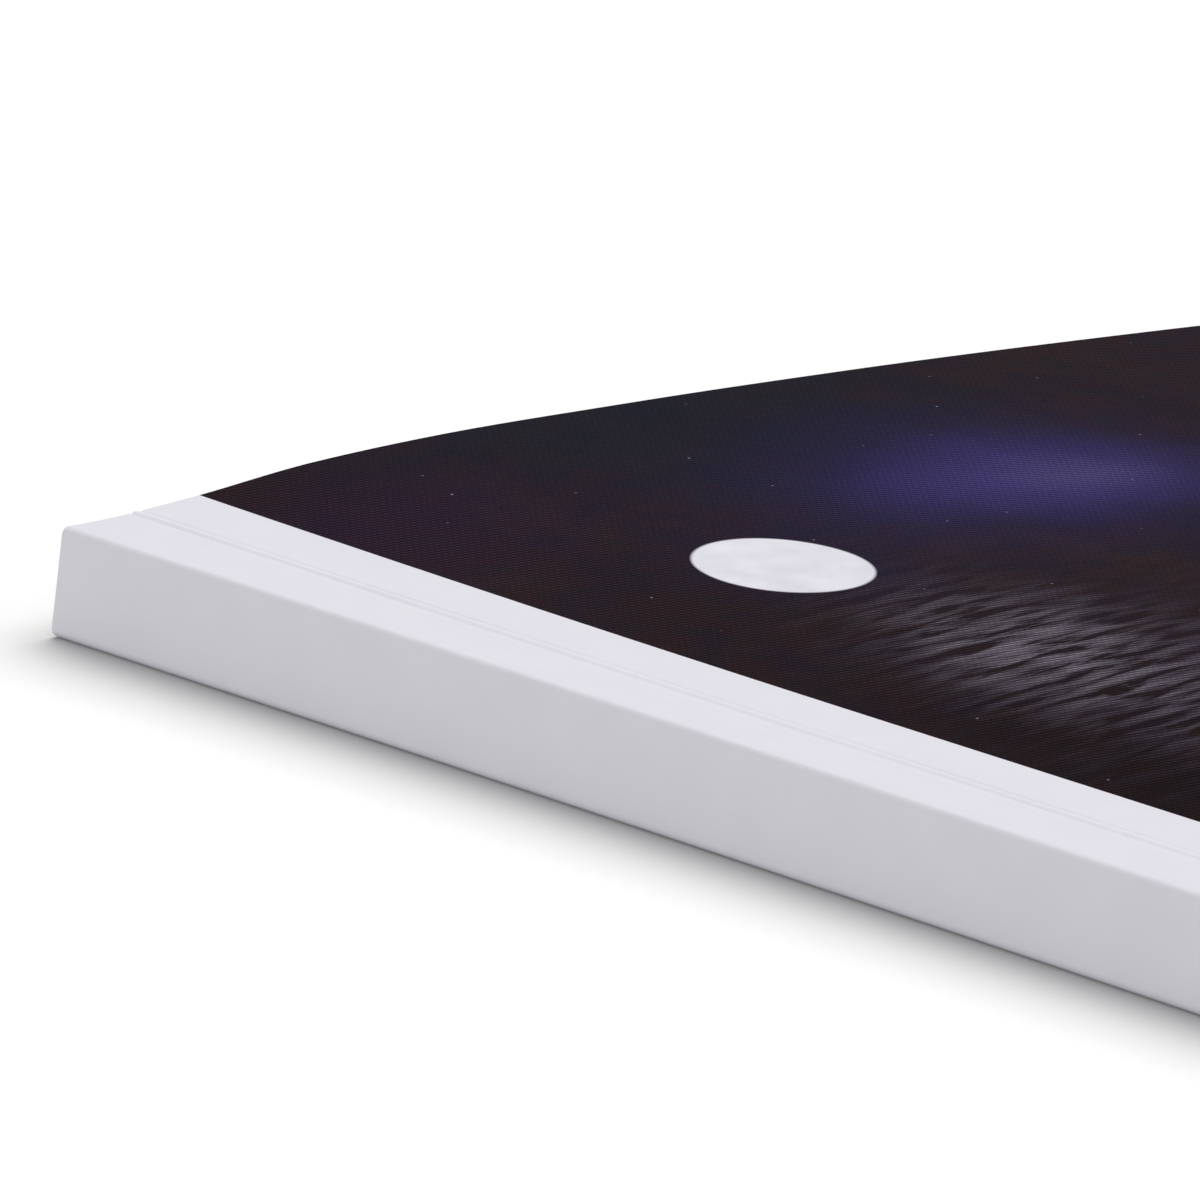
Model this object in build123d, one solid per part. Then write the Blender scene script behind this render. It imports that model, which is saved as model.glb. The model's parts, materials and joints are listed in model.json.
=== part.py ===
"""A perfect-bound paperback book, lying closed on its back cover.

The book is a trimmed block of leaves whose spine edge is set in hot-melt glue, inside one sheet of card that
wraps round it as front cover, spine and back cover. The card is folded at both edges of the spine, and creased
along each cover a few millimetres from the spine, where the cover opens. Between spine and crease each cover is
side-glued to the outermost leaf. The spine is nipped tight and the leaves are fuller beyond it, so the front
cover climbs from the spine, crowns near the middle of the book and falls a little to the fore-edge.

Frame, in millimetres: +X runs from the spine to the fore-edge, +Y from the tail to the head, +Z up. The origin
is the centre of the footprint, on the surface that the book lies on.
"""

from build123d import *
import os
from math import cos, radians, sin, sqrt, tan

# Trimmed size.
WIDTH = 210.0  # spine face to fore-edge
LENGTH = 297.0  # tail to head
SPINE_HEIGHT = 8.0  # thickness of the whole book at the spine

# Cover card.
CARD = 0.4
SPINE_CORNER_RADIUS = 0.8  # outside radius of the fold at each edge of the spine
CREASE_OFFSET = 7.5  # spine face to the crease that a cover opens on
CREASE_WIDTH = 0.1  # the crushed line of card at a crease

# How the front cover stands over the leaves. Lifts are measured from the height of the spine.
STRIP_CLIMB = 2.0  # degrees, climb of the glued strip from the spine to the crease
SHOULDER_OFFSET = 40.0  # spine face to where the rise eases into the crown
SHOULDER_LIFT = 2.7
CROWN_OFFSET = 82.0
CROWN_LIFT = 3.3
FORE_EDGE_LIFT = 0.5

# Hot-melt glue.
SPINE_GLUE = 0.5  # on the spine edges of the leaves
SIDE_GLUE = 0.15  # between an outermost leaf and the card
SIDE_GLUE_REACH = 6.0  # spine face to the end of the side glue

OUTPUT_FOLDER = "parts"
OVERSIZE = 5.0  # every sheet starts this much too wide, and is trimmed with the rest

SPINE_X = -WIDTH / 2
CLIMB_SLOPE = tan(radians(STRIP_CLIMB))
CLIMB_COSINE = cos(radians(STRIP_CLIMB))
CLIMB_SINE = sin(radians(STRIP_CLIMB))


def across(offset, height):
    """A point of the cross-section, at an offset from the spine face and a height above the table."""
    return Vector(SPINE_X + offset, height)


def strip_height(offset, depth=0.0):
    """Height of the glued front strip, or of the layer that lies this deep under it."""
    return SPINE_HEIGHT + CLIMB_SLOPE * offset - depth / CLIMB_COSINE


# The outer face of the front cover beyond its crease: a rise that runs without a kink into a long, flat crown.
CREASE = across(CREASE_OFFSET, strip_height(CREASE_OFFSET))
SHOULDER = across(SHOULDER_OFFSET, SPINE_HEIGHT + SHOULDER_LIFT)
CROWN_TOP = across(CROWN_OFFSET, SPINE_HEIGHT + CROWN_LIFT)
FORE_EDGE = across(WIDTH, SPINE_HEIGHT + FORE_EDGE_LIFT)
CROWN = ThreePointArc(SHOULDER, CROWN_TOP, FORE_EDGE)
RISE = TangentArc(SHOULDER, CREASE, tangent=(CROWN % 0) * -1)


def on_arc(arc, x, depth):
    """The point at x on the arc that lies this deep under the given one."""
    centre = arc.arc_center
    radius = arc.radius - depth
    return Vector(x, centre.Y + sqrt(radius**2 - (x - centre.X) ** 2))


def cover_line(depth, first_x):
    """The layer this deep under the cover's outer face, as two arcs from first_x to past the fore-edge."""
    shoulder = SHOULDER + (CROWN.arc_center - SHOULDER).normalized() * depth
    last_x = WIDTH / 2 + OVERSIZE
    rise = ThreePointArc(
        on_arc(RISE, first_x, depth), on_arc(RISE, (first_x + shoulder.X) / 2, depth), shoulder
    )
    crown = ThreePointArc(
        shoulder, on_arc(CROWN, (shoulder.X + last_x) / 2, depth), on_arc(CROWN, last_x, depth)
    )
    return [rise, crown]


def trimmed(face):
    """The cross-section run from tail to head, and trimmed to the book's three cut edges."""
    taller_than_the_book = 3 * (SPINE_HEIGHT + CROWN_LIFT)
    trim = Box(WIDTH, LENGTH, taller_than_the_book)
    return extrude(Plane.XZ * face, LENGTH / 2, both=True) & trim


def spine_end(depth, spine_depth, reach, corner_radius):
    """The spine end of the cross-section: the card's outline, or a layer inside it, as far as reach."""
    corners = [
        across(reach, depth),
        across(spine_depth, depth),
        across(spine_depth, strip_height(spine_depth, depth)),
        across(reach, strip_height(reach, depth)),
    ]
    face = make_face(Polyline(*corners, close=True))
    if corner_radius > 0:
        face = fillet(face.vertices().sort_by(Axis.X)[:2], corner_radius)
    return face


def cover_spine():
    """The card that is glued down: the spine, and the strip of each cover as far as its crease."""
    reach = CREASE_OFFSET - CREASE_WIDTH / 2
    outside = spine_end(0.0, 0.0, reach, SPINE_CORNER_RADIUS)
    inside = spine_end(CARD, CARD, reach + OVERSIZE, SPINE_CORNER_RADIUS - CARD)
    return trimmed(outside - inside)


def spine_glue():
    """The glue over the whole spine, turned round each edge onto the outermost leaves."""
    outside = spine_end(CARD, CARD, SIDE_GLUE_REACH, SPINE_CORNER_RADIUS - CARD)
    inside = spine_end(CARD + SIDE_GLUE, CARD + SPINE_GLUE, SIDE_GLUE_REACH + OVERSIZE, 0.0)
    return trimmed(outside - inside)


def page_block():
    """All the leaves, as full as they lie under the crowned cover."""
    depth = CARD + SIDE_GLUE
    spine_edge = CARD + SPINE_GLUE
    top = cover_line(depth, CREASE.X + depth * CLIMB_SINE)
    spine_foot = across(spine_edge, depth)
    spine_head = across(spine_edge, strip_height(spine_edge, depth))
    last_foot = across(WIDTH + OVERSIZE, depth)
    sides = Polyline(top[0] @ 0, spine_head, spine_foot, last_foot, top[1] @ 1)
    return trimmed(make_face(Wire(top + sides.edges())))


def front_cover():
    """The front cover from its crease to the fore-edge."""
    first_x = CREASE.X + CREASE_WIDTH / 2
    outer = cover_line(0.0, first_x)
    inner = cover_line(CARD, first_x)
    near_cut = Line(outer[0] @ 0, inner[0] @ 0)
    far_cut = Line(outer[1] @ 1, inner[1] @ 1)
    return trimmed(make_face(Wire([*outer, *inner, near_cut, far_cut])))


def back_cover():
    """The back cover from its crease to the fore-edge, flat on the table."""
    near = CREASE_OFFSET + CREASE_WIDTH / 2
    far = WIDTH + OVERSIZE
    corners = [across(near, 0), across(far, 0), across(far, CARD), across(near, CARD)]
    return trimmed(make_face(Polyline(*corners, close=True)))


SUBPARTS = {
    "page_block": page_block,
    "spine_glue": spine_glue,
    "cover_spine": cover_spine,
    "front_cover": front_cover,
    "back_cover": back_cover,
}

os.makedirs(OUTPUT_FOLDER, exist_ok=True)
for name, make in SUBPARTS.items():
    export_step(make(), f"{OUTPUT_FOLDER}/{name}.step")

# Each cover turns on a line along Y, on its outer face.
print("front cover turns at X", round(CREASE.X, 4), "and Z", round(CREASE.Y, 4))
print("back cover turns at X", round(CREASE.X, 4), "and Z 0")
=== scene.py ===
"""A thin, large paperback, lying closed on its back cover.

One sheet of white board, creased and folded, wraps a block of sixty-four leaves that hot-melt glue holds at the
spine. The outside of the board is matt laminated. The front is printed nearly black to its three cut edges, and
starts a hand's breadth of white short of the spine. The leaves are fuller than the nipped spine, so the front
cover climbs away from its crease, and it flares a little more at the head and the tail.

Every size is in metres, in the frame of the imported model: +X from spine to fore-edge, +Y from tail to head.
"""

import json
import math
import random

import bpy
import numpy as np
from mathutils import Matrix, Vector, noise


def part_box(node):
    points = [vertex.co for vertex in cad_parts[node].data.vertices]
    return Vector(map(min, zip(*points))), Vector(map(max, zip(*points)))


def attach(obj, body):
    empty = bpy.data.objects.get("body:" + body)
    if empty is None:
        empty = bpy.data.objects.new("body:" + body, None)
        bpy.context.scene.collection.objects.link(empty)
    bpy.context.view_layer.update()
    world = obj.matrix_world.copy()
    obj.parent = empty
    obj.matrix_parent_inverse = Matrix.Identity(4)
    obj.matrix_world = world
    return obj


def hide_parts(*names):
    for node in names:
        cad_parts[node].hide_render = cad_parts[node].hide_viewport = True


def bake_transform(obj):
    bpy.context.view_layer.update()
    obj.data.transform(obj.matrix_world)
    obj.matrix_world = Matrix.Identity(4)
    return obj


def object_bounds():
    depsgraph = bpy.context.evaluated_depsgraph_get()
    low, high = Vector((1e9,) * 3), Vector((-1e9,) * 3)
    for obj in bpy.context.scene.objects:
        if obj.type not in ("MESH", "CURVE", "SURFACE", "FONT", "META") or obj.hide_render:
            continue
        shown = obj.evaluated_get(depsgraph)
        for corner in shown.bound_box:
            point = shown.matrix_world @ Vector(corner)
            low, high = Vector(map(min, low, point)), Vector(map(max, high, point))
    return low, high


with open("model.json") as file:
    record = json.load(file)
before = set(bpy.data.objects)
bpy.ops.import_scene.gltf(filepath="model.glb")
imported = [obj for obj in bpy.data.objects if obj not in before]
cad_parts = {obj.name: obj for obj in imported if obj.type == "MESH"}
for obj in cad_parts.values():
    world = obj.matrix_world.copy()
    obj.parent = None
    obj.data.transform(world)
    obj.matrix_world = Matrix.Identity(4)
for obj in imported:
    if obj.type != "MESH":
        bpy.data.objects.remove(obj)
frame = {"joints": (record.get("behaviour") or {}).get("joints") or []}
CAD_LOW, CAD_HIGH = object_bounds()

MM = 0.001

# ---------------------------------------------------------------------------------------------------------------
# The book's sizes
# ---------------------------------------------------------------------------------------------------------------

SPINE_X = CAD_LOW.x
FORE_EDGE_X = CAD_HIGH.x
TAIL_Y = CAD_LOW.y
HEAD_Y = CAD_HIGH.y
WIDTH = FORE_EDGE_X - SPINE_X
LENGTH = HEAD_Y - TAIL_Y

joint_at = {joint["name"]: Vector(joint["pos_m"]) for joint in frame["joints"]}
FRONT_CREASE = joint_at["front_cover_hinge"]
CREASE_OFFSET = FRONT_CREASE.x - SPINE_X

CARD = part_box("back_cover")[1].z  # thickness of the cover board
SPINE_HEIGHT = 8.0 * MM
UPPER_FOLD = 0.55 * MM  # outside radius of the fold between spine and front
LOWER_FOLD = 0.8 * MM  # and between spine and back
GLUE_REACH = 5.4 * MM  # spine face to the end of the glue on the outermost leaves
SIDE_GLUE = 0.15 * MM
SPINE_GLUE = 0.5 * MM
PRINT_START = 14.0 * MM  # the printed front begins this far from the spine

LEAVES = 64
SECTION = 8  # leaves that were folded and trimmed together, and lie closer to one another
LEAF = 0.098 * MM  # 135 g/m2 coated paper
SLACK = 0.02 * MM  # air between the cover and the outermost leaf

# Height of the front cover over the spine's own height, halfway between head and tail: (from the spine, lift).
FRONT_RISE = [
    (0.0, 0.0),
    (7.0, 0.13),
    (14.0, 0.38),
    (26.0, 1.5),
    (40.0, 2.5),
    (60.0, 3.1),
    (84.0, 3.28),
    (121.0, 2.95),
    (160.0, 2.1),
    (210.0, 0.5),
]
FLARE = 0.66 * MM  # what head and tail add to it
FLARE_PEAK = 22.0 * MM  # from the spine
FLARE_RUN = 62.0 * MM  # from head or tail to where the flare has died away
SWAY = 0.3 * MM  # how far the spine wanders from straight along its length
SWAY_RUN = 220.0 * MM

# The crease is a raised bead between two score lines, and the end of the side glue shows as a fainter line.
SCORE_LINES = [(6.95 * MM, -0.07 * MM, 0.17 * MM), (8.05 * MM, -0.06 * MM, 0.17 * MM)]
BEAD = (7.4 * MM, 0.065 * MM, 0.19 * MM)
GLUE_LINE = (5.3 * MM, -0.022 * MM, 0.2 * MM)


def smooth_curve(points, x):
    """Height at x of a smooth curve through the points, with the slope at each taken from its neighbours."""
    xs = [p[0] for p in points]
    ys = [p[1] for p in points]
    slopes = np.gradient(ys, xs)
    i = int(np.clip(np.searchsorted(xs, x) - 1, 0, len(xs) - 2))
    span = xs[i + 1] - xs[i]
    t = (x - xs[i]) / span
    start = (1 + 2 * t) * (1 - t) ** 2 * ys[i] + t * (1 - t) ** 2 * span * slopes[i]
    end = t * t * (3 - 2 * t) * ys[i + 1] + t * t * (t - 1) * span * slopes[i + 1]
    return start + end


def flare(offset, y):
    """How much higher the cover stands near head and tail than halfway between them."""
    from_end = min(HEAD_Y - y, y - TAIL_Y)
    near_end = max(0.0, 1 - from_end / FLARE_RUN) ** 2
    w = offset / FLARE_PEAK
    return FLARE * w**3 * math.exp(3 * (1 - w)) * near_end


def front_height(offset, y):
    """Height of the front cover's outer face."""
    return SPINE_HEIGHT + smooth_curve(FRONT_RISE, offset / MM) * MM + flare(offset, y)


def sway(offset, y):
    """How far the spine stands in from a straight line here. It dies away by the crease."""
    share = max(0.0, 1 - offset / CREASE_OFFSET)
    return SWAY * share * math.sin(2 * math.pi * (HEAD_Y - y) / SWAY_RUN)


def ridge(offset, y, line):
    """Height of one pressed or raised line in the board. It wanders a little, and is fainter in places."""
    centre, height, half_width = line
    wander = 0.09 * MM * noise.noise(Vector((y / (19 * MM), centre * 900, 0.5)))
    force = 1 + 0.5 * noise.noise(Vector((y / (11 * MM), centre * 900, 7.5)))
    return height * force * math.exp(-(((offset - centre - wander) / half_width) ** 2))


def spine_ripple(y, z):
    """The glue under the board leaves the spine very slightly uneven."""
    return 0.05 * MM * noise.noise(Vector((y / (17 * MM), z / (7 * MM), 3.0)))


# ---------------------------------------------------------------------------------------------------------------
# Meshes
# ---------------------------------------------------------------------------------------------------------------


def graded(start, end, count, power=1.0):
    """count points after start, up to end, closer together near the start when power is over 1."""
    return [start + (end - start) * (i / count) ** power for i in range(1, count + 1)]


def rows_along(count):
    """Places from tail to head, closer together near both, where the edges flare."""
    return [TAIL_Y + LENGTH * (0.5 - 0.5 * math.cos(math.pi * i / count)) for i in range(count + 1)]


def closed_sheet(name, outer, inner, flat, materials, wears):
    """A board or leaf from two grids of points, [row along Y][place across], joined at all four edges.

    flat gives each place on the sheet laid out flat. wears tells which material a face has, from its side
    ("outer", "inner" or "edge") and its distance across the flat sheet.
    """
    rows = len(outer)
    across = len(outer[0])
    verts = [p for row in outer for p in row] + [p for row in inner for p in row]
    shift = rows * across
    faces = []
    slots = []

    def add(corners, side, at):
        faces.append(corners)
        slots.append(wears(side, at))

    for j in range(rows - 1):
        for i in range(across - 1):
            a = j * across + i
            quad = (a, a + 1, a + 1 + across, a + across)
            at = (flat[i] + flat[i + 1]) / 2
            add(quad, "outer", at)
            add(tuple(v + shift for v in reversed(quad)), "inner", at)
    for i in range(across - 1):
        at = (flat[i] + flat[i + 1]) / 2
        add((i + 1, i, i + shift, i + 1 + shift), "edge", at)
        k = (rows - 1) * across + i
        add((k, k + 1, k + 1 + shift, k + shift), "edge", at)
    for j in range(rows - 1):
        k = j * across
        add((k, k + across, k + across + shift, k + shift), "edge", flat[0])
        k += across - 1
        add((k + across, k, k + shift, k + across + shift), "edge", flat[-1])

    mesh = bpy.data.meshes.new(name)
    mesh.from_pydata(verts, [], faces)
    place = mesh.attributes.new("sheet_place", "FLOAT_VECTOR", "POINT")
    spots = [(flat[i], HEAD_Y - row[i][1], float(side)) for side, grid in enumerate((outer, inner)) for row in grid for i in range(across)]
    place.data.foreach_set("vector", np.array(spots, dtype=np.float32).ravel())
    for material in materials:
        mesh.materials.append(material)
    mesh.polygons.foreach_set("material_index", slots)
    return finished(name, mesh)


def finished(name, mesh):
    """The mesh as a piece, smooth but for its real edges."""
    mesh.validate()
    mesh.shade_smooth()
    mesh.set_sharp_from_angle(angle=math.radians(35))
    piece = bpy.data.objects.new(name, mesh)
    bpy.context.scene.collection.objects.link(piece)
    return piece


def soften_cut_edges(piece, width):
    """A knife-cut edge isn't perfectly sharp: it gets a narrow round, which catches the light."""
    bevel = piece.modifiers.new("cut edge", "BEVEL")
    bevel.width = width
    bevel.segments = 2
    bevel.limit_method = "ANGLE"
    bevel.angle_limit = math.radians(60)
    bevel.use_clamp_overlap = False
    view_layer = bpy.context.view_layer
    view_layer.update()
    shaped = bpy.data.meshes.new_from_object(piece.evaluated_get(bpy.context.evaluated_depsgraph_get()))
    piece.modifiers.remove(bevel)
    piece.data = shaped
    shaped.set_sharp_from_angle(angle=math.radians(50))
    return piece


# ---------------------------------------------------------------------------------------------------------------
# Finishes
# ---------------------------------------------------------------------------------------------------------------


def linear(code):
    """An sRGB hex colour as linear light."""
    levels = [int(code[i : i + 2], 16) / 255 for i in (1, 3, 5)]
    return [c / 12.92 if c <= 0.04045 else ((c + 0.055) / 1.055) ** 2.4 for c in levels] + [1.0]


def add_node(tree, kind, links=None, **settings):
    """Adds a node. links gives its sockets, by name or number, a value or another node's socket."""
    made = tree.nodes.new(kind)
    for key, value in settings.items():
        setattr(made, key, value)
    for key, value in (links or {}).items():
        if isinstance(value, bpy.types.NodeSocket):
            tree.links.new(value, made.inputs[key])
        else:
            made.inputs[key].default_value = value
    return made


def new_material(name):
    """An empty node material and its tree."""
    material = bpy.data.materials.new(name)
    material.use_nodes = True
    material.node_tree.nodes.clear()
    return material, material.node_tree


def place_on_sheet(tree):
    """Where on the flat sheet a point lies, in metres: across from the spine, and down from the head."""
    return add_node(tree, "ShaderNodeAttribute", attribute_name="sheet_place").outputs["Vector"]


def fine_grain(tree, place, size, depth):
    """The normal of a surface with a random grain of this size and depth, in metres."""
    grain = add_node(tree, "ShaderNodeTexNoise", {"Vector": place, "Scale": 1 / size, "Detail": 3.0})
    bump = add_node(tree, "ShaderNodeBump", {"Height": grain.outputs["Fac"], "Distance": depth})
    return bump.outputs["Normal"]


def cloudy(tree, place, size, dark, light):
    """A colour that wanders between two, in clouds of this size in metres."""
    cloud = add_node(tree, "ShaderNodeTexNoise", {"Vector": place, "Scale": 1 / size, "Detail": 3.0})
    links = {"Factor": cloud.outputs["Fac"], "A": linear(dark), "B": linear(light)}
    return add_node(tree, "ShaderNodeMix", links, data_type="RGBA").outputs["Result"]


def surface_of(tree, colour, roughness, gloss, normal):
    """Ends the tree in one dull, opaque surface. gloss of 0.5 is a clean polished one."""
    links = {
        "Base Color": colour,
        "Roughness": roughness,
        "IOR": 1.49,
        "Specular IOR Level": gloss,
        "Normal": normal,
    }
    shader = add_node(tree, "ShaderNodeBsdfPrincipled", links)
    add_node(tree, "ShaderNodeOutputMaterial", {"Surface": shader.outputs["BSDF"]})


def matt_laminated_white_board():
    """White cover board under a matt film: no mirror image, a soft even white, and the board's faint clouds."""
    material, tree = new_material("matt_laminated_white_board")
    place = place_on_sheet(tree)
    colour = cloudy(tree, place, 5 * MM, "#E0DEE6", "#E5E4EB")
    surface_of(tree, colour, FILM_ROUGHNESS, FILM_GLOSS, fine_grain(tree, place, FILM_GRAIN, FILM_DEPTH))
    return material


def paper_or_board(name, dark, light, clouds, grain, depth, roughness):
    """Uncoated or cut fibre: cloudy on a scale of millimetres, and dull, with a fine tooth."""
    material, tree = new_material(name)
    place = place_on_sheet(tree)
    colour = cloudy(tree, place, clouds, dark, light)
    surface_of(tree, colour, roughness, 0.25, fine_grain(tree, place, grain, depth))
    return material


def trimmed_leaf_edges():
    """The guillotined edges of the leaves: dull, and no two leaves quite the same white."""
    material, tree = new_material("trimmed_leaf_edges")
    place = place_on_sheet(tree)
    leaf = add_node(tree, "ShaderNodeSeparateXYZ", {"Vector": place}).outputs["Z"]
    own = add_node(tree, "ShaderNodeTexWhiteNoise", {"W": leaf}, noise_dimensions="1D")
    links = {"Factor": own.outputs["Value"], "A": linear("#CBC8C2"), "B": linear("#F6F5F2")}
    tone = add_node(tree, "ShaderNodeMix", links, data_type="RGBA").outputs["Result"]
    surface_of(tree, tone, 0.9, 0.2, fine_grain(tree, place, 0.15 * MM, 0.01 * MM))
    return material


def ink_patch(tree, place, centre, reach, strength):
    """An oval of ink with a soft rim: how much of it lies here. centre and reach are in millimetres."""
    scale = (1 / (reach[0] * MM), 1 / (reach[1] * MM), 0)
    shift = (-centre[0] / reach[0], -centre[1] / reach[1], 0)
    moved = add_node(tree, "ShaderNodeMapping", {"Vector": place, "Location": shift, "Scale": scale})
    ball = add_node(tree, "ShaderNodeTexGradient", {"Vector": moved.outputs[0]}, gradient_type="SPHERICAL")
    links = {"Value": ball.outputs["Fac"], "To Max": strength}
    return add_node(tree, "ShaderNodeMapRange", links, interpolation_type="SMOOTHSTEP").outputs["Result"]


def printed_over(tree, under, ink, share, blend="MIX"):
    """The print so far with one more ink over it. share says how much of the ink lies where."""
    links = {"Factor": share, "A": under, "B": ink}
    return add_node(tree, "ShaderNodeMix", links, data_type="RGBA", blend_type=blend).outputs["Result"]


def product(tree, one, other):
    """Two shares multiplied."""
    return add_node(tree, "ShaderNodeMath", {0: one, 1: other}, operation="MULTIPLY").outputs["Value"]


def screen_lines(tree, place, turn):
    """One direction of the printing screen, as a fine wave of light and dark across the sheet."""
    turned = add_node(tree, "ShaderNodeMapping", {"Vector": place, "Rotation": (0, 0, math.radians(turn))})
    links = {"Vector": turned.outputs[0], "Scale": math.pi / (10 * SCREEN_PITCH)}
    return add_node(tree, "ShaderNodeTexWave", links).outputs["Color"]


def glitter(tree, place):
    """Moonlight broken up on small waves: short level dashes that crowd together in the middle of the path."""
    stretched = add_node(tree, "ShaderNodeMapping", {"Vector": place, "Scale": (1 / 7.0, 1 / 1.1, 0)})
    links = {"Vector": stretched.outputs[0], "Scale": 1 / MM, "Detail": 4.0, "Distortion": 0.4}
    waves = add_node(tree, "ShaderNodeTexNoise", links)
    links = {"Value": waves.outputs["Fac"], "From Min": 0.42, "From Max": 0.66}
    return add_node(tree, "ShaderNodeMapRange", links).outputs["Result"]


def matt_laminated_print():
    """A night sea under the same matt film: near-black plum ink, with a violet haze, a pale moon and its glitter.

    All of it is process ink on a fine diagonal screen, and a few specks of dust have printed as pale points.
    """
    material, tree = new_material("matt_laminated_print")
    place = place_on_sheet(tree)
    drift = add_node(tree, "ShaderNodeTexNoise", {"Vector": place, "Scale": 1 / (30 * MM), "Detail": 4.0})
    stray = {0: drift.outputs["Color"], 1: (14 * MM, 14 * MM, 0), 2: (-7 * MM, -7 * MM, 0)}
    loose = add_node(tree, "ShaderNodeVectorMath", {**stray}, operation="MULTIPLY_ADD")
    wandering = add_node(tree, "ShaderNodeVectorMath", {0: place, 1: loose.outputs[0]}, operation="ADD").outputs[0]

    print_so_far = cloudy(tree, place, 26 * MM, "#3F2F32", "#524046")
    for ink, size, strength in INK_BLOTCHES:
        blotches = add_node(tree, "ShaderNodeTexNoise", {"Vector": place, "Scale": 1 / size, "Detail": 5.0})
        links = {"Value": blotches.outputs["Fac"], "From Min": 0.44, "From Max": 0.64, "To Max": strength}
        blotchy = add_node(tree, "ShaderNodeMapRange", links).outputs["Result"]
        print_so_far = printed_over(tree, print_so_far, linear(ink), blotchy)
    for ink, centre, reach, strength in NIGHT_HAZES:
        share = ink_patch(tree, wandering, centre, reach, strength)
        print_so_far = printed_over(tree, print_so_far, linear(ink), share)

    waves = glitter(tree, place)
    for ink, centre, reach, strength in GLITTER_PATH:
        share = product(tree, ink_patch(tree, wandering, centre, reach, strength), waves)
        print_so_far = printed_over(tree, print_so_far, linear(ink), share)

    for turn in (15, 75):
        lines = screen_lines(tree, place, turn)
        print_so_far = printed_over(tree, print_so_far, lines, SCREEN_DEPTH, "MULTIPLY")
    speckle = cloudy(tree, place, 0.16 * MM, "#404040", "#FFFFFF")
    print_so_far = printed_over(tree, print_so_far, speckle, SPECKLE_DEPTH, "MULTIPLY")

    scale = (1 / (MOON_RADIUS * MM), 1 / (MOON_RADIUS * MM), 0)
    shift = (-MOON_CENTRE[0] / MOON_RADIUS, -MOON_CENTRE[1] / MOON_RADIUS, 0)
    moved = add_node(tree, "ShaderNodeMapping", {"Vector": place, "Location": shift, "Scale": scale})
    from_middle = add_node(tree, "ShaderNodeVectorMath", {0: moved.outputs[0]}, operation="LENGTH")
    links = {"Value": from_middle.outputs["Value"], "From Min": 1.02, "From Max": 0.98}
    moon = add_node(tree, "ShaderNodeMapRange", links).outputs["Result"]
    moon_ink = cloudy(tree, place, 3 * MM, "#D0CED9", "#EEEDF3")
    print_so_far = printed_over(tree, print_so_far, moon_ink, moon)

    dust = {"Vector": place, "Scale": 1 / (14 * MM)}
    cells = add_node(tree, "ShaderNodeTexVoronoi", dust, voronoi_dimensions="2D")
    links = {"Value": cells.outputs["Distance"], "From Min": 0.009, "From Max": 0.004, "To Max": 0.7}
    specks = add_node(tree, "ShaderNodeMapRange", links).outputs["Result"]
    specks = product(tree, specks, cells.outputs["Color"])
    print_so_far = printed_over(tree, print_so_far, linear("#B9B2BE"), specks)
    surface_of(tree, print_so_far, FILM_ROUGHNESS, FILM_GLOSS, fine_grain(tree, place, FILM_GRAIN, FILM_DEPTH))
    return material


# The matt film over the whole outside of the cover.
FILM_ROUGHNESS = 0.6
FILM_GLOSS = 0.001  # it scatters nearly all it would mirror, even along its face
FILM_GRAIN = 0.6 * MM
FILM_DEPTH = 0.003 * MM

SCREEN_PITCH = 0.48 * MM  # drawn three times as coarse as a real screen, so that its grain can be seen
SCREEN_DEPTH = 0.55

SPECKLE_DEPTH = 0.7  # ink takes unevenly on the board's tooth

# Uneven ink all over the print: ink, size in metres and strength.
INK_BLOTCHES = [
    ("#383147", 7 * MM, 0.55),
    ("#4C3336", 4 * MM, 0.5),
    ("#2C3640", 2.5 * MM, 0.35),
]

# The print's motifs: ink, centre (from the spine's edge, from the head), reach both ways in mm, and strength.
NIGHT_HAZES = [
    ("#251D1C", (20, 110), (70, 90), 0.75),
    ("#2C3646", (58, 4), (56, 30), 0.6),
    ("#4A3553", (20, 14), (26, 18), 0.55),
    ("#454178", (68, 28), (40, 24), 0.85),
    ("#675AA8", (72, 29), (26, 13), 0.9),
    ("#7B72AE", (76, 29), (12, 5.5), 0.5),
    ("#3E395A", (35, 36), (14, 14), 0.7),
    ("#303450", (150, 60), (90, 90), 0.5),
    ("#33283A", (120, 190), (110, 100), 0.6),
]
GLITTER_PATH = [
    ("#564B5C", (40, 74), (34, 50), 1.0),
    ("#877C8D", (36, 66), (20, 30), 1.0),
    ("#B0A8B7", (34, 60), (12, 18), 0.8),
]
MOON_CENTRE = (35, 36)
MOON_RADIUS = 6.5

WHITE_BOARD = matt_laminated_white_board()
PRINTED_BOARD = matt_laminated_print()
BOARD_INSIDE = paper_or_board("uncoated_board_inside", "#E2E0DE", "#E9E7E4", 4 * MM, 0.25 * MM, 0.01 * MM, 0.9)
BOARD_CUT = paper_or_board("guillotined_board_edge", "#D6D3D0", "#ECE9E6", 0.8 * MM, 0.1 * MM, 0.02 * MM, 0.9)
TEXT_PAPER = paper_or_board("silk_coated_text_paper", "#E6E5E2", "#F1F0ED", 2 * MM, 0.2 * MM, 0.003 * MM, 0.7)
LEAF_EDGES = trimmed_leaf_edges()
GLUE = paper_or_board("hot_melt_glue", "#D6CDB2", "#E2DAC2", 3 * MM, 0.6 * MM, 0.02 * MM, 0.45)

# ---------------------------------------------------------------------------------------------------------------
# The cover
# ---------------------------------------------------------------------------------------------------------------

BOARD_SLOTS = [WHITE_BOARD, PRINTED_BOARD, BOARD_INSIDE, BOARD_CUT]
SEAM_OFFSET = 6.0 * MM  # where, under the book, the back cover's mesh takes over from the spine's


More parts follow.
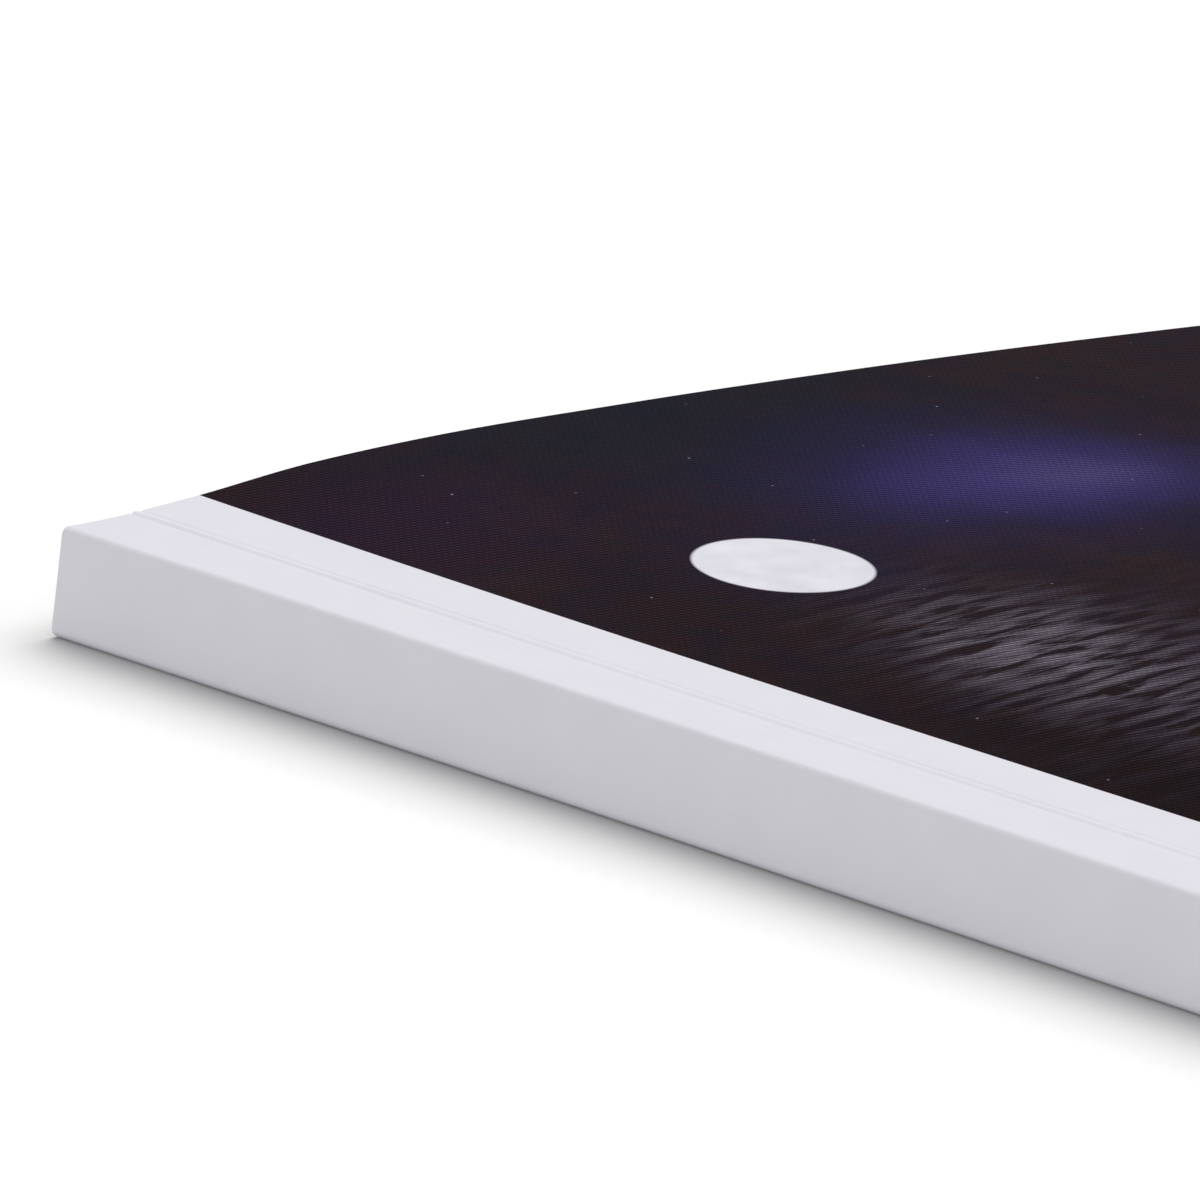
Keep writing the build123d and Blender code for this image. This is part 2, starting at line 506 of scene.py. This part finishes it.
def wrap_section():
    """Places across the outer face of spine and front, as (kind, where along that kind, distance on the flat sheet)."""
    lower_arc = math.pi / 2 * LOWER_FOLD
    upper_arc = math.pi / 2 * UPPER_FOLD
    flat_spine = SPINE_HEIGHT - LOWER_FOLD - UPPER_FOLD
    spine_foot = -flat_spine - upper_arc
    places = []
    for offset in [SEAM_OFFSET, 4 * MM, 2 * MM]:
        places.append(("under", offset, spine_foot - lower_arc - (offset - LOWER_FOLD)))
    for i in range(9):
        places.append(("lower fold", i / 8, spine_foot - lower_arc + lower_arc * i / 8))
    for i in range(1, 12):
        places.append(("spine", i / 12, spine_foot + flat_spine * i / 12))
    for i in range(9):
        places.append(("upper fold", i / 8, -upper_arc + upper_arc * i / 8))
    offsets = graded(UPPER_FOLD, 4.8 * MM, 5) + graded(4.8 * MM, 6.4 * MM, 16) + graded(6.4 * MM, 8.8 * MM, 30)
    offsets += graded(8.8 * MM, PRINT_START, 8) + graded(PRINT_START, WIDTH, 60, 1.25)
    for offset in offsets:
        places.append(("front", offset, offset - UPPER_FOLD))
    return places


def wrap_point(kind, where, y, depth):
    """A point of the cover's wrap, this deep under its outer face."""
    if kind == "under":
        return Vector((SPINE_X + where + sway(where, y), y, depth))
    if kind == "lower fold":
        angle = math.pi * 1.5 - where * math.pi / 2
        x = SPINE_X + LOWER_FOLD + (LOWER_FOLD - depth) * math.cos(angle)
        return Vector((x + sway(0, y), y, LOWER_FOLD + (LOWER_FOLD - depth) * math.sin(angle)))
    if kind == "spine":
        z = LOWER_FOLD + where * (SPINE_HEIGHT - LOWER_FOLD - UPPER_FOLD)
        fade = min(1.0, 4 * where, 4 * (1 - where))
        return Vector((SPINE_X + depth + sway(0, y) + fade * spine_ripple(y, z), y, z))
    if kind == "upper fold":
        angle = math.pi - where * math.pi / 2
        x = SPINE_X + UPPER_FOLD + (UPPER_FOLD - depth) * math.cos(angle)
        rise = (front_height(UPPER_FOLD, y) - SPINE_HEIGHT) * where
        z = SPINE_HEIGHT - UPPER_FOLD + rise + (UPPER_FOLD - depth) * math.sin(angle)
        return Vector((x + sway(0, y), y, z))
    step = 0.5 * MM
    slope = (front_height(where + step, y) - front_height(where - step, y)) / (2 * step)
    normal = Vector((-slope, 0, 1)).normalized()
    relief = sum(ridge(where, y, line) for line in [*SCORE_LINES, BEAD, GLUE_LINE])
    face = Vector((SPINE_X + where + sway(where, y), y, front_height(where, y)))
    return face + normal * (relief - depth)


def cover_wrap():
    """The board from under the spine, round it and over the front to the fore-edge."""
    places = wrap_section()
    rows = rows_along(130)
    outer = [[wrap_point(kind, where, y, 0.0) for kind, where, _ in places] for y in rows]
    inner = [[wrap_point(kind, where, y, CARD) for kind, where, _ in places] for y in rows]
    flat = [along for _, _, along in places]
    print_from = PRINT_START - UPPER_FOLD

    def wears(side, at):
        return {"outer": 1 if at > print_from else 0, "inner": 2, "edge": 3}[side]

    piece = closed_sheet("cover_spine_and_front", outer, inner, flat, BOARD_SLOTS, wears)
    soften_cut_edges(piece, 0.05 * MM)
    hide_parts("cover_spine", "front_cover")
    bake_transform(piece)


def cover_back():
    """The board of the back cover, from the end of the wrap to the fore-edge, flat on the table."""
    offsets = [SEAM_OFFSET] + graded(SEAM_OFFSET, 9 * MM, 30) + graded(9 * MM, WIDTH, 40, 1.3)
    rows = rows_along(60)
    start_flat = -SPINE_HEIGHT
    outer = []
    inner = []
    for y in rows:
        grooves = [-sum(ridge(offset, y, line) for line in SCORE_LINES) for offset in offsets]
        outer.append([Vector((SPINE_X + offset + sway(offset, y), y, groove)) for offset, groove in zip(offsets, grooves)])
        inner.append([Vector((SPINE_X + offset + sway(offset, y), y, CARD + groove)) for offset, groove in zip(offsets, grooves)])
    flat = [start_flat - offset for offset in offsets]

    def wears(side, at):
        return {"outer": 0, "inner": 2, "edge": 3}[side]

    # The outer face looks down, so the two grids change places to keep the faces turned outwards.
    piece = closed_sheet("cover_back", inner, outer, flat, [BOARD_INSIDE, WHITE_BOARD, BOARD_CUT], lambda side, at: {"outer": 0, "inner": 1, "edge": 2}[side])
    soften_cut_edges(piece, 0.05 * MM)
    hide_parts("back_cover")
    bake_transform(piece)


# ---------------------------------------------------------------------------------------------------------------
# Leaves and glue
# ---------------------------------------------------------------------------------------------------------------


def block_top(offset, y):
    """Height of the top leaf's upper face."""
    return front_height(offset, y) - CARD - SIDE_GLUE * 0.6


def block_foot():
    """Height of the bottom leaf's lower face."""
    return CARD + SIDE_GLUE * 0.6


def leaf_block():
    """Sixty-four separate leaves, pinched together at the spine and with air between them elsewhere."""
    pick = random.Random(64)
    first = CARD + SPINE_GLUE
    offsets = [first] + graded(first, WIDTH, 17, 1.6)
    rows = rows_along(22)
    airs = [pick.uniform(0.4, 1.4) + (3.0 if i % SECTION == 0 else 0.0) for i in range(LEAVES + 1)]
    levels = np.cumsum(airs) / sum(airs)
    verts = []
    faces = []
    spots = []
    finishes = []  # 0 for a leaf's face, 1 for its cut edge
    across = len(offsets)
    for leaf in range(LEAVES):
        trim = pick.uniform(-0.02, 0.02) * MM
        cut = pick.uniform(-0.015, 0.015) * MM
        wave = [pick.uniform(0, 2 * math.pi) for _ in range(2)]
        base = len(verts)
        for upper in (1, 0):
            for j, y in enumerate(rows):
                yy = y + (cut if j in (0, len(rows) - 1) else 0.0)
                for i, offset in enumerate(offsets):
                    air = block_top(offset, y) - block_foot() - LEAVES * LEAF
                    ripple = 0.15 / LEAVES * math.sin(offset / (23 * MM) + wave[0]) * math.sin(y / (31 * MM) + wave[1])
                    z = block_foot() + leaf * LEAF + air * (levels[leaf] + ripple) + upper * LEAF
                    x = SPINE_X + offset + sway(offset, y) + (trim if i == across - 1 else 0.0)
                    verts.append((x, yy, z))
                    spots.append((offset, HEAD_Y - y, leaf * 0.01))
        shift = len(rows) * across
        for j in range(len(rows) - 1):
            for i in range(across - 1):
                a = base + j * across + i
                quad = (a, a + 1, a + 1 + across, a + across)
                faces.append(quad)
                faces.append(tuple(v + shift for v in reversed(quad)))
        cut_from = len(faces)
        for i in range(across - 1):
            a = base + i
            faces.append((a + 1, a, a + shift, a + 1 + shift))
            a += (len(rows) - 1) * across
            faces.append((a, a + 1, a + 1 + shift, a + shift))
        for j in range(len(rows) - 1):
            a = base + j * across
            faces.append((a, a + across, a + across + shift, a + shift))
            a += across - 1
            faces.append((a + across, a, a + shift, a + across + shift))
        finishes += [0] * (cut_from - len(finishes)) + [1] * (len(faces) - cut_from)
    mesh = bpy.data.meshes.new("leaves")
    mesh.from_pydata(verts, [], faces)
    place = mesh.attributes.new("sheet_place", "FLOAT_VECTOR", "POINT")
    place.data.foreach_set("vector", np.array(spots, dtype=np.float32).ravel())
    mesh.materials.append(TEXT_PAPER)
    mesh.materials.append(LEAF_EDGES)
    mesh.polygons.foreach_set("material_index", finishes)
    piece = finished("leaves", mesh)
    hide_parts("page_block")
    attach(piece, "book")


def binding_glue():
    """Hot-melt over the backs of the leaves, turned round onto the outermost two."""
    inset = 0.01 * MM
    foot = block_foot() - inset
    wall = SPINE_X + CARD + SPINE_GLUE - inset
    bend = [("lower fold", i / 4) for i in range(5)] + [("spine", i / 6) for i in range(1, 6)]
    bend += [("upper fold", i / 4) for i in range(5)]
    outside = [("under", GLUE_REACH), ("under", 3 * MM), *bend, ("front", 3 * MM), ("front", GLUE_REACH)]
    rows = rows_along(60)
    outer = [[wrap_point(kind, where, y, CARD + inset) for kind, where in outside] for y in rows]
    inner = []
    for y, row in zip(rows, outer):
        roof = block_top(wall - SPINE_X, y) + inset
        under = [Vector((p.x, y, foot)) for p in row[:2]]
        back = [Vector((wall + sway(0, y), y, foot + (roof - foot) * i / (len(bend) - 1))) for i in range(len(bend))]
        over = [Vector((p.x, y, block_top(p.x - SPINE_X, y) + inset)) for p in row[-2:]]
        inner.append(under + back + over)
    flat = [i * MM for i in range(len(outside))]
    piece = closed_sheet("binding_glue", outer, inner, flat, [GLUE], lambda side, at: 0)
    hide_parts("spine_glue")
    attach(piece, "book")


cover_wrap()
cover_back()
leaf_block()
binding_glue()

# ---------------------------------------------------------------------------------------------------------------
# Floor, light and camera
# ---------------------------------------------------------------------------------------------------------------


# How far from the book the floor's painted contact shade reaches.
PAINTED_CONTACT_SHADE_REACH = 15 * MM


def shows_backdrop(tree):
    """1 for what the camera sees, straight on or mirrored or through glass, and 0 for the light on the book."""
    path = add_node(tree, "ShaderNodeLightPath")
    bent = {0: path.outputs["Is Glossy Ray"], 1: path.outputs["Is Transmission Ray"]}
    mirrored = add_node(tree, "ShaderNodeMath", bent, operation="MAXIMUM").outputs["Value"]
    seen = {0: path.outputs["Is Camera Ray"], 1: mirrored}
    return add_node(tree, "ShaderNodeMath", seen, operation="MAXIMUM").outputs["Value"]


def white_floor():
    """A seamless white sheet. It keeps the book's shadow, has painted shade added near the book, and the camera sees
    the lit part as pure white.
    """
    mesh = bpy.data.meshes.new("floor")
    reach = 6.0
    level = -0.02 * MM
    mesh.from_pydata([(x, y, level) for x, y in ((-reach, -reach), (reach, -reach), (reach, reach), (-reach, reach))], [], [(0, 1, 2, 3)])
    floor = bpy.data.objects.new("floor", mesh)
    bpy.context.scene.collection.objects.link(floor)
    material, tree = new_material("white_sweep_with_painted_shade")
    # Painted shade: the sheet's colour darkens where the book nearly touches it, deepening the book's real contact
    # shadow.
    near_book = {"Distance": PAINTED_CONTACT_SHADE_REACH, "Color": (1, 1, 1, 1)}
    openness = add_node(tree, "ShaderNodeAmbientOcclusion", near_book, samples=16).outputs["AO"]
    links = {"Factor": openness, "A": linear("#A0A0A0"), "B": linear("#FCFCFC")}
    painted_contact_shade = add_node(tree, "ShaderNodeMix", links, data_type="RGBA").outputs["Result"]
    seen = add_node(tree, "ShaderNodeBsdfDiffuse", {"Color": painted_contact_shade})
    lift = add_node(tree, "ShaderNodeEmission", {"Color": (1, 1, 1, 1), "Strength": 0.05})
    seen_and_lifted = add_node(tree, "ShaderNodeAddShader", {0: seen.outputs[0], 1: lift.outputs[0]})
    unseen = add_node(tree, "ShaderNodeBsdfDiffuse", {"Color": linear("#BCBCBC")})
    links = {0: shows_backdrop(tree), 1: unseen.outputs[0], 2: seen_and_lifted.outputs[0]}
    either = add_node(tree, "ShaderNodeMixShader", links)
    add_node(tree, "ShaderNodeOutputMaterial", {"Surface": either.outputs[0]})
    mesh.materials.append(material)


def studio_light():
    """One wide soft light high behind the spine's side, a low soft one in front, and a dim white room."""
    world = bpy.data.worlds.new("studio")
    bpy.context.scene.world = world
    world.use_nodes = True
    tree = world.node_tree
    tree.nodes.clear()
    room = add_node(tree, "ShaderNodeBackground", {"Color": (1, 1, 1, 1), "Strength": 0.08})
    backdrop = add_node(tree, "ShaderNodeBackground", {"Color": (1, 1, 1, 1), "Strength": 1.0})
    links = {0: shows_backdrop(tree), 1: room.outputs[0], 2: backdrop.outputs[0]}
    seen = add_node(tree, "ShaderNodeMixShader", links)
    add_node(tree, "ShaderNodeOutputWorld", {"Surface": seen.outputs[0]})
    for name, strength, azimuth, elevation, spread in (
        ("softbox_behind", 0.98, 105, 55, 70),
        ("softbox_in_front", 0.72, -62, 9, 40),
    ):
        lamp = bpy.data.lights.new(name, "SUN")
        lamp.energy = strength * math.pi
        lamp.angle = math.radians(spread)
        at = bpy.data.objects.new(name, lamp)
        bpy.context.scene.collection.objects.link(at)
        a = math.radians(azimuth)
        e = math.radians(elevation)
        towards = Vector((math.sin(a) * math.cos(e), -math.cos(a) * math.cos(e), math.sin(e)))
        at.rotation_euler = towards.to_track_quat("Z", "Y").to_euler()


def camera():
    """A long lens, low over the corner where head and spine meet, and tilted a little to one side."""
    azimuth = math.radians(-50.67)
    elevation = math.radians(13.5)
    roll = math.radians(6.8)
    distance = 0.9
    aim = Vector((SPINE_X + 23.9 * MM, HEAD_Y - 29.4 * MM, SPINE_HEIGHT - 0.61 * MM))
    back = Vector((math.sin(azimuth) * math.cos(elevation), -math.cos(azimuth) * math.cos(elevation), math.sin(elevation)))
    level = Vector((math.cos(azimuth), math.sin(azimuth), 0))
    upright = back.cross(level)
    right = level * math.cos(roll) + upright * math.sin(roll)
    up = back.cross(right)
    data = bpy.data.cameras.new("camera")
    data.sensor_width = 36
    data.lens = 386.5
    data.clip_end = 50
    at = bpy.data.objects.new("camera", data)
    bpy.context.scene.collection.objects.link(at)
    place = aim + back * distance
    at.matrix_world = Matrix((
        (right.x, up.x, back.x, place.x),
        (right.y, up.y, back.y, place.y),
        (right.z, up.z, back.z, place.z),
        (0, 0, 0, 1),
    ))
    bpy.context.scene.camera = at


white_floor()
studio_light()
camera()
bpy.context.scene.view_settings.view_transform = "Standard"
